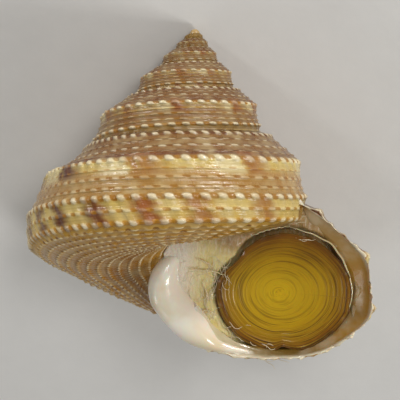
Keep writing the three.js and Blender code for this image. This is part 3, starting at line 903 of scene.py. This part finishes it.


# Inside of the mouth: colour round its outline, with painted shadow on the lower lip beside the disc, darker
# further in and white at the edge of the lip
def mouthMaterial(mesh):
    constants = {"Roughness": 0.25, "Coat Weight": 0.25, "Subsurface Weight": 0.15,
                 "Subsurface Scale": 0.0004}
    tree, shader = newMaterial(mesh, "mouthNacre", constants)
    turn, row = turnAndRow(tree)
    share = rescale(row, mouthCode, mouthCode + 100)
    grain = useGroup(tree, fineGrain, {"Scale": 0.6})
    behind = calculate("MULTIPLY_ADD", grain["Mottle"], 0.5, readAttribute(tree, "behindLip"))
    color = layer(colorRamp(share, mouth["round"]), mouth["deep"], softStep(behind, 1.0, 3.0), 0.6)
    color = layer(color, mouth["lipWhite"], softStep(behind, 0.55, 0.2), 0.85)
    color = layer(color, mouth["lipWhite"], softStep(grain["Mottle"], 0.4, 0.7), 0.3)
    inputs = {"Turn": turn, "Row": product(share, 60), "Threads": 0.4, "Striae": 1.0}
    lines = useGroup(tree, growthLines, inputs)
    height = calculate("MULTIPLY_ADD", grain["Height"], 0.8, lines["Height"])
    finishMaterial(shader, color, height, 0.3, 0.00004)


# Columella: porcelain mottled with a warmer white, grey at its top and yellower at its foot
def columellaMaterial(mesh):
    constants = {"Roughness": 0.22, "Subsurface Weight": 0.3, "Subsurface Scale": 0.0006, "Coat Weight": 0.5}
    tree, shader = newMaterial(mesh, "columellaPorcelain", constants)
    grain = useGroup(tree, fineGrain, {"Scale": 0.4})
    along = turnAndRow(tree)[0]
    color = mixColor(softStep(grain["Mottle"], 0.4, 0.75), columella["porcelain"], columella["warm"])
    color = layer(color, columella["grey"], softStep(along, 0.35, 0.1), 0.6)
    color = layer(color, columella["low"], softStep(along, 0.5, 0.85), 0.75)
    color = layer(color, columella["lavender"], readAttribute(tree, "lavender"))
    finishMaterial(shader, color, grain["Height"], 0.25, 0.00005)


outsideMaterial(shell.data)
mouthMaterial(shell.data)
columellaMaterial(shell.data)
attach(shell, "root")
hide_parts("shell")
print("shell finished")

operculum = {
    "middle": (7.75, 0.55, 18.8), "across": 4.85, "along": 4.5,    # sideways, back, depth, half widths, in mm
    # edge against a true oval: angle, share
    "edge": [(3, 1.01), (13, 1.02), (23, 1.03), (30, 1.02), (40, 1.01), (51, 1.01), (62, 1.03), (72, 1.035),
             (83, 1.04), (93, 1.04), (103, 1.02), (113, 1.005), (123, 0.967), (130, 0.95), (138, 0.9),
             (149, 0.885), (158, 0.925), (167, 0.98), (176, 1.0), (186, 1.005), (199, 1.003), (212, 1.018),
             (224, 1.03), (234, 1.045), (244, 1.05), (253, 1.06), (262, 1.06), (267, 1.04), (271, 0.985),
             (274, 0.955), (279, 0.99), (284, 1.03), (294, 1.05), (303, 1.04), (314, 1.025), (326, 1.02),
             (336, 1.03), (344, 1.04), (352, 1.015)],
    "core": (-0.35, -0.25),     # the middle of the rings lies off the disc's middle, in mm
    "dish": 0.45,               # how far the middle lies behind the rim
    "bowl": 1.6,                # power of the way out by which the dish rises
    "thickness": 0.12,
    # share of the way out, height of the step in mm
    "rings": [(0.42, 0.004), (0.55, 0.006), (0.66, 0.01), (0.75, 0.016), (0.81, 0.014), (0.87, 0.02),
              (0.92, 0.016)],
    # back of the disc: share of the way out, share of the rim's curl, share of the thickness
    "behind": [(1.0, 1.0, 0.6), (0.96, 0.6, 1.0), (0.6, 0.0, 1.0), (0.05, 0.0, 1.0)],
    "rounder": 4.0,             # how fast the rings inside lose the notches of the rim
    "wrinkle": 0.028, "curl": 0.05,
    "columns": 260, "innerRows": 50, "outerRows": 90,
    "seed": 5,
    # colours from the middle to the rim, then the dark and pale rings and the shade over the upper half
    "outward": [(0.0, (204, 165, 18)), (0.3, (190, 152, 20)), (0.6, (182, 142, 10)), (0.86, (150, 108, 8)),
                (0.95, (128, 80, 2)), (0.995, (84, 50, 4))],
    "line": (78, 48, 4), "light": (206, 176, 60), "shade": (112, 66, 4),
}
discMiddle = np.array(operculum["middle"]) * [1, 1, -1]


# Place in the plane of the mouth: sideways, up along the plane and out of it, in millimetres
def onMouth(sideways, upward, height):
    across = sideways[..., None] * [1, 0, 0] + upward[..., None] * mouthUp
    return discMiddle + across + height[..., None] * mouthOut


# Reach of the disc's edge at an angle as a share of a true oval's: the edge table, smoothed
def discReach(angle):
    table = np.array(operculum["edge"])
    table = np.vstack([table[-3:] - [360, 0], table, table[:3] + [360, 0]])
    return lookUp(np.degrees(angle) % 360, smoothLine(table, 2000)[1])


# Smooth noise along a closed ring: a few sines with chance phases
def ringNoise(angle, waves, draw):
    total = 0 * angle
    for wave in waves:
        total = total + np.sin(wave * angle + 2 * np.pi * draw.random()) * (0.5 + draw.random())
    return total / np.sqrt(len(waves))


# Disc by share of the way out and angle: a shallow dish with raised rings, wrinkled towards the rim
def discSurface(share, angle, draw):
    reach = 1 + (discReach(angle) - 1) * share ** operculum["rounder"]
    offSideways, offUpward = (off * (1 - share) ** 1.5 for off in operculum["core"])
    sideways = operculum["across"] * reach * np.cos(angle) * share + offSideways
    upward = operculum["along"] * reach * np.sin(angle) * share + offUpward
    height = -operculum["dish"] * (1 - share ** operculum["bowl"])
    for at, step in operculum["rings"]:
        wander = at + 0.012 * np.sin(3 * angle + 9 * at) + 0.008 * np.sin(7 * angle + 20 * at)
        rise, fall = smoothStep(share, wander - 0.015, wander), smoothStep(share, wander, wander + 0.05)
        height = height + step * (rise - fall)
    waves = np.sin(share * 38 + 2 * np.sin(angle * 2))
    rough = ringNoise(angle + 2.2 * share, (5, 9, 14, 23), draw) * waves
    offNotch = 1 - np.exp(-((np.degrees(angle) % 360 - 272) / 18) ** 2)
    below = smoothStep(-np.sin(angle), 0.1, 0.6) * offNotch
    height = height + operculum["wrinkle"] * rough * smoothStep(share, 0.7, 0.9) * (0.3 + 0.7 * below)
    curl = ringNoise(angle, (3, 7, 12, 19, 31), draw)
    return sideways, upward, height + operculum["curl"] * curl * smoothStep(share, 0.9, 1.0)


# The disc as one surface: loops from its middle out to the rim, and back to the middle behind it
def makeOperculum():
    draw = np.random.default_rng(operculum["seed"])
    angles = np.linspace(0, 2 * np.pi, operculum["columns"], endpoint=False)
    inner = np.linspace(0.01, 0.6, operculum["innerRows"])
    outer = np.linspace(0.607, 1.0, operculum["outerRows"])
    share, angle = gridOf(np.concatenate([inner, outer]), angles)
    sideways, upward, height = discSurface(share, angle, draw)
    out, curl, thick = np.array(operculum["behind"]).T[..., None]
    dish = operculum["dish"] * (1 - out ** operculum["bowl"])
    sideways = np.concatenate([sideways, sideways[-1] * out])
    upward = np.concatenate([upward, upward[-1] * out])
    height = np.concatenate([height, height[-1] * curl - dish - operculum["thickness"] * thick])
    share = np.concatenate([share, np.ones((len(out), len(angles)))])
    return loopMesh("operculumDisc", onMouth(sideways, upward, height), stacked(share, angles / (2 * np.pi)))


# Horn: golden in the middle, amber outwards and brown at the rim. Its rings are noise drawn out along the
# angle, with the share of the way out as the third direction, so that they come and go
def hornMaterial(mesh):
    constants = {"Specular IOR Level": 0.3, "Coat Weight": 0.2, "Coat Roughness": 0.12,
                 "Subsurface Weight": 0.1, "Subsurface Scale": 0.0005}
    tree, shader = newMaterial(mesh, "amberHorn", constants)
    share, around = turnAndRow(tree)
    angle = product(around, 2 * np.pi)
    cosine, sine = calculate("COSINE", angle), calculate("SINE", angle)
    grain = useGroup(tree, fineGrain, {"Scale": 0.5})
    uneven = calculate("MULTIPLY_ADD", calculate("SUBTRACT", grain["Mottle"], 0.5), 0.14, share)
    color = colorRamp(uneven, operculum["outward"])
    wide = noise(combine(product(share, 34), product(cosine, 0.5), product(sine, 0.5)), 1.0, 2.0, 0.6)
    fine = noise(combine(product(share, 85), product(cosine, 0.8), product(sine, 0.8)), 1.0, 2.0, 0.6)
    outer = rescale(share, 0.35, 0.85, 0.25, 0.85)
    color = layer(color, operculum["line"], softStep(wide, 0.54, 0.64), outer)
    color = layer(color, operculum["line"], softStep(fine, 0.55, 0.66), outer, 0.7)
    color = layer(color, operculum["light"], softStep(fine, 0.44, 0.34), outer, 0.45)
    color = layer(color, operculum["shade"], softStep(product(sine, share), 0.1, 0.95), 0.45)
    height = product(calculate("MULTIPLY_ADD", wide, 1.6, fine), outer)
    height = calculate("MULTIPLY_ADD", grain["Height"], 0.3, height)
    finishMaterial(shader, color, height, 0.5, 0.00005, rescale(fine, 0.3, 0.7, 0.22, 0.42))


disc = makeOperculum()
hornMaterial(disc.data)
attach(disc, "root")
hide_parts("operculum")
print("operculum finished")


cotton = {
    "behindDisc": 1.0,          # mm behind the plane of the mouth under the disc
    "atColumella": 0.12,        # mm behind it beside the columella
    "atWall": 0.15,
    "discShare": 0.94, "rise": (-0.2, 0.7),    # it rises at this share of the disc's edge, over these mm
    # how it reaches under the columella and over the lip: angle in degrees, mm
    "under": [(0, 0.9), (45, 0.8), (70, 0.4), (100, 0), (140, 1.0), (165, 1.2), (190, 0.75), (215, 1.2),
              (240, 0.6), (262, 0.1), (290, 0.5), (320, 0.8), (360, 0.9)],
    "inset": 0.985,             # share of the way out to the wall that it reaches
    "lumps": 0.06, "waves": ((1.1, 7), (2.3, 11), (3.1, 17), (4.7, 29)),    # mm, waves outwards and round
    "behind": [(0.98, 2.12), (0.9, 2.6), (0.5, 2.6), (0.02, 2.6)],    # back of the plug: share out, mm
    "columns": 240, "rows": 90, "seed": 3,
    "lavender": (236, 220, 196), "green": (230, 210, 136), "tan": (232, 202, 134),
    "deep": (190, 154, 88), "film": (176, 140, 82),
}


# The wall of the mouth as its distance from the disc's middle at even angles
def mouthOutline(angles):
    inner = fromLip(np.full(len(innerWall[0]), coil["lipTurn"] - 0.012), innerWall[1])
    away = inner - discMiddle
    sideways, upward = away[:, 0], away @ mouthUp
    turned = np.arctan2(upward, sideways) % (2 * np.pi)
    order = np.argsort(turned)
    return np.interp(angles, turned[order], np.hypot(sideways, upward)[order], period=2 * np.pi)


# Cotton behind the disc: share of the way out and angle, lumpy, hollow under the disc and raised beside it
def makeCotton():
    draw = np.random.default_rng(cotton["seed"])
    angles = np.linspace(0, 2 * np.pi, cotton["columns"], endpoint=False)
    share, angle = gridOf(np.linspace(0.01, 1, cotton["rows"]), angles)
    reach = mouthOutline(angles) * cotton["inset"] + lookUp(np.degrees(angles), cotton["under"])
    edge = operculum["across"] * discReach(angles) * cotton["discShare"]
    out = share * reach
    left = -out * np.cos(angle)
    beyond = smoothStep(out - edge, *cotton["rise"])
    height = -cotton["behindDisc"] + beyond * (cotton["behindDisc"] - cotton["atWall"])
    height = height + smoothStep(left, 4.6, 6.6) * (cotton["atWall"] - cotton["atColumella"])
    lumps = sum(np.sin(out * outward + 6 * draw.random()) * np.sin(angle * around + 6 * draw.random())
                for outward, around in cotton["waves"])
    lumps = lumps * (0.25 + 0.75 * beyond) * (1 - 0.85 * smoothStep(left, 5.4, 6.4))
    shareBehind, deepBehind = np.array(cotton["behind"]).T[..., None]
    out = np.concatenate([out, reach * shareBehind])
    height = np.concatenate([height + cotton["lumps"] * lumps, 0 * angles - deepBehind])
    sideways, upward = out * np.cos(angles), out * np.sin(angles)
    return loopMesh("cottonPlug", onMouth(sideways, upward, height), stacked(sideways, upward))


# Wool under glue: pale beside the columella, tan towards the disc, brown film above it, drawn-out wisps
def cottonMaterial(mesh):
    constants = {"Roughness": 0.4, "Coat Weight": 0.5, "Coat Roughness": 0.15,
                 "Subsurface Weight": 0.25, "Subsurface Scale": 0.0006}
    tree, shader = newMaterial(mesh, "gluedCotton", constants)
    sideways, upward = turnAndRow(tree)
    grain = useGroup(tree, fineGrain, {"Scale": 0.7})
    color = mixColor(softStep(sideways, -7.6, -5.6), cotton["lavender"], cotton["green"])
    color = layer(color, cotton["tan"], softStep(sideways, -4.6, -1.5))
    above, right = softStep(upward, 2.2, 3.6), softStep(sideways, -6.2, -4.4)
    film = calculate("MULTIPLY_ADD", above, right, softStep(sideways, -1.5, 3.0), True)
    color = layer(color, cotton["film"], film)
    wisps = noise(combine(product(sideways, 5.0), product(upward, 1.2)), 1.0, 5.0, 0.7)
    color = layer(color, cotton["lavender"], softStep(wisps, 0.45, 0.7), 0.5)
    color = layer(color, cotton["deep"], softStep(wisps, 0.45, 0.25), 0.5)
    finishMaterial(shader, color, calculate("MULTIPLY_ADD", wisps, 2.0, grain["Height"]), 0.6, 0.00012)


cottonPlug = makeCotton()
cottonMaterial(cottonPlug.data)
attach(cottonPlug, "root")
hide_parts("cotton_plug")

fibres = {
    # bunches of fibres: sideways, up, spread, how many, length, direction in degrees, all in mm
    "bunches": [(-5.0, 1.2, 0.35, 14, 2.6, 100), (-5.3, -0.6, 0.3, 12, 2.2, 80),
                (-5.0, -2.2, 0.3, 10, 2.0, 110), (-3.2, -3.9, 0.5, 12, 2.0, 140),
                (-0.5, -4.9, 0.6, 8, 1.6, 170), (-6.6, 0.6, 0.5, 8, 1.8, 60), (0.8, 5.5, 0.5, 6, 1.6, 10)],
    "radius": 0.02, "steps": 14, "sides": 5, "height": 0.12, "seed": 8,
    "pale": (238, 226, 196), "deep": (206, 186, 140), "grain": 1.5, "bump": (0.2, 0.00002),
}
glue = {
    # ridges of dried glue in the plane of the mouth: sideways and up, in mm
    "ridges": [[(0.05, 5.19), (1.52, 4.84), (3.01, 4.18), (3.72, 3.37), (4.28, 2.48), (4.92, 0.65),
                (4.82, -1.09)],
               [(-6.98, 1.4), (-6.1, 1.31), (-5.24, 1.31), (-4.28, 1.07)],
               [(-6.46, 2.22), (-5.72, 1.97), (-5.11, 1.55)], [(-6.23, -2.15), (-5.52, -1.85), (-4.8, -1.95)],
               [(-2.7, 4.26), (-1.44, 4.91), (0.05, 5.27)], [(4.1, 4.1), (5.3, 2.6), (5.7, 0.4)],
               [(-3.36, -4.89), (-1.69, -5.07), (0.1, -4.92), (1.52, -4.49)],
               [(2.2, 5.6), (3.7, 4.9), (4.6, 3.9)], [(-5.9, 0.4), (-5.4, -0.7), (-5.5, -1.6)]],
    "radius": 0.07, "steps": 40, "sides": 8, "wander": 0.03,
    "pale": (232, 216, 176), "deep": (206, 182, 128), "grain": 1.0, "bump": (0.4, 0.00003),
}


# Curved hairs as thin tubes: each follows a bent path with chance bends, all computed at once
def makeFibres():
    draw = np.random.default_rng(fibres["seed"])
    bunches = np.array(fibres["bunches"])
    rows = np.repeat(bunches, bunches[:, 3].astype(int), axis=0)
    sideways, upward, spread, number, length, heading = rows.T[..., None]
    one = number.shape
    t = np.linspace(-0.5, 0.5, fibres["steps"])
    heading = np.radians(heading + draw.normal(0, 22, one))
    bend = draw.normal(0, 1.1, one)
    length = length * draw.uniform(0.5, 1.2, one)
    course = heading + bend * t + 0.5 * np.sin(t * 9 + 6 * draw.random(one))
    step = length / fibres["steps"]
    sideways = sideways + draw.normal(0, 1, one) * spread - np.cos(heading) * length / 2
    upward = upward + draw.normal(0, 1, one) * spread - np.sin(heading) * length / 2
    sideways = sideways + np.cumsum(np.cos(course) * step, 1)
    upward = upward + np.cumsum(np.sin(course) * step, 1)
    level = draw.uniform(-0.18, 0.1, one)
    level = level + fibres["height"] * np.sin(t * 7 + 6 * draw.random(one))
    radius = fibres["radius"] * (1 - 0.7 * np.abs(2 * t) ** 3)
    points = tubeRings(onMouth(sideways, upward, level), radius, fibres["sides"], mouthOut)
    return loopMesh("cottonFibres", points, stacked(t[:, None] + 0.5, np.zeros(points.shape[:3])))


# Glue ridges: a tube along each line, thin at both ends and a little uneven
def makeGlue():
    tubes = []
    for k, ridge in enumerate(glue["ridges"]):
        sideways, upward = np.array(ridge).T
        radius = glue["radius"] * (1 - 0.75 * np.linspace(-1, 1, len(ridge)) ** 2)
        path = np.column_stack([onMouth(sideways, upward, 0 * sideways), radius])
        tube, along = smoothTube(path, glue["steps"], glue["sides"])
        tubes.append(tube + glue["wander"] * np.sin(along * 40 + k)[:, None, None] * mouthUp)
    points = np.array(tubes)
    return loopMesh("glueRidges", points, stacked(along[:, None], np.zeros(points.shape[:3])))


# Two tones mixed by the fine grain
def twoToneMaterial(mesh, name, look, constants):
    tree, shader = newMaterial(mesh, name, constants)
    grain = useGroup(tree, fineGrain, {"Scale": look["grain"]})
    color = mixColor(grain["Mottle"], look["pale"], look["deep"])
    finishMaterial(shader, color, grain["Height"], *look["bump"])


glueRidges = makeGlue()
glueLook = {"Roughness": 0.12, "Coat Weight": 0.6, "Subsurface Weight": 0.3, "Subsurface Scale": 0.0003}
twoToneMaterial(glueRidges.data, "driedGlue", glue, glueLook)
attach(glueRidges, "root")
fibre = makeFibres()
twoToneMaterial(fibre.data, "cottonFibre", fibres, {"Roughness": 0.5, "Sheen Weight": 0.3})
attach(fibre, "root")
print("cotton finished")

cameraPlace = {
    "below": 5.05,                # degrees that the camera looks up the shell's axis from
    "roll": 4.31,
    "middle": (1.27, 0.0, -12.59),    # point in the middle of the picture, in the shell's millimetres
    "distance": 0.16, "lens": 200.0,
}
lights = {
    # name: direction from the shell in the view's right, up and back; distance, size and power
    "left": ((-0.8, 0.55, 0.5), 0.2, 0.02, 0.12),
    "right": ((0.5, 0.62, 0.6), 0.2, 0.03, 0.18),
    "front": ((0.2, 0.15, 1.0), 0.35, 0.1, 0.32),
    "lowRight": ((0.68, -0.6, 0.45), 0.22, 0.06, 0.15),
    "lowLeft": ((-0.6, -0.7, 0.4), 0.25, 0.08, 0.06),
}
floorLook = {"half": 0.6, "pale": (226, 224, 219), "shade": (218, 216, 211), "bright": 0.18}


# Right, up and back of the view as the columns of a matrix: two turns in the shell's directions, laid down
def viewTurn():
    below, roll = np.radians([cameraPlace["below"], cameraPlace["roll"]])
    back = np.array([0, -np.cos(below), -np.sin(below)])
    right = np.array([np.cos(roll), -np.sin(roll) * np.sin(below), np.sin(roll) * np.cos(below)])
    return frameTurn @ stacked(right, np.cross(back, right), back)


# A camera or lamp that looks at the shell along the back of a turn, from a distance in metres
def lookAtShell(name, data, turn, distance):
    made = addObject(name, data)
    stand = placed(np.array(cameraPlace["middle"])) + turn[:, 2] * distance
    made.matrix_world = Matrix([*np.column_stack([turn, stand]).tolist(), (0, 0, 0, 1)])
    return made


# A long lens that looks along the back of the view
def makeCamera(view):
    data = bpy.data.cameras.new("camera")
    data.lens = cameraPlace["lens"]
    data.clip_start, data.clip_end = 0.01, 10
    bpy.context.scene.camera = lookAtShell("camera", data, view, cameraPlace["distance"])


# Square lamps round the view, each level at its lower edge
def makeLights(view):
    for name, (direction, distance, size, power) in lights.items():
        data = bpy.data.lights.new(name, "AREA")
        data.size, data.energy = size, power
        toward = unit(view @ np.array(direction))
        side = unit(np.cross([0, 0, 1], toward))
        lookAtShell(name, data, stacked(side, np.cross(toward, side), toward), distance)


# A square of pale paper under the shell
def makeFloor():
    corners = np.array([(-1, -1, 0), (1, -1, 0), (1, 1, 0), (-1, 1, 0)]) * floorLook["half"]
    mesh = bpy.data.meshes.new("floor")
    mesh.from_pydata(corners.tolist(), [], [(0, 1, 2, 3)])
    tree, shader = newMaterial(mesh, "paperFloor", {"Roughness": 0.85})
    fine = noise(objectPlace(tree), 400.0, 4.0, 0.6)
    finishMaterial(shader, mixColor(fine, floorLook["pale"], floorLook["shade"]), fine, 0.15, 0.0002)
    addObject("floor", mesh)


# Even white light from all sides
def makeWorld():
    world = bpy.data.worlds.new("studio")
    world.use_nodes = True
    background = world.node_tree.nodes["Background"]
    background.inputs["Color"].default_value = (1, 1, 1, 1)
    background.inputs["Strength"].default_value = floorLook["bright"]
    bpy.context.scene.world = world


view = viewTurn()
makeCamera(view)
makeLights(view)
makeFloor()
makeWorld()
bpy.context.scene.view_settings.view_transform = "Standard"
print("stage, lights and camera finished")
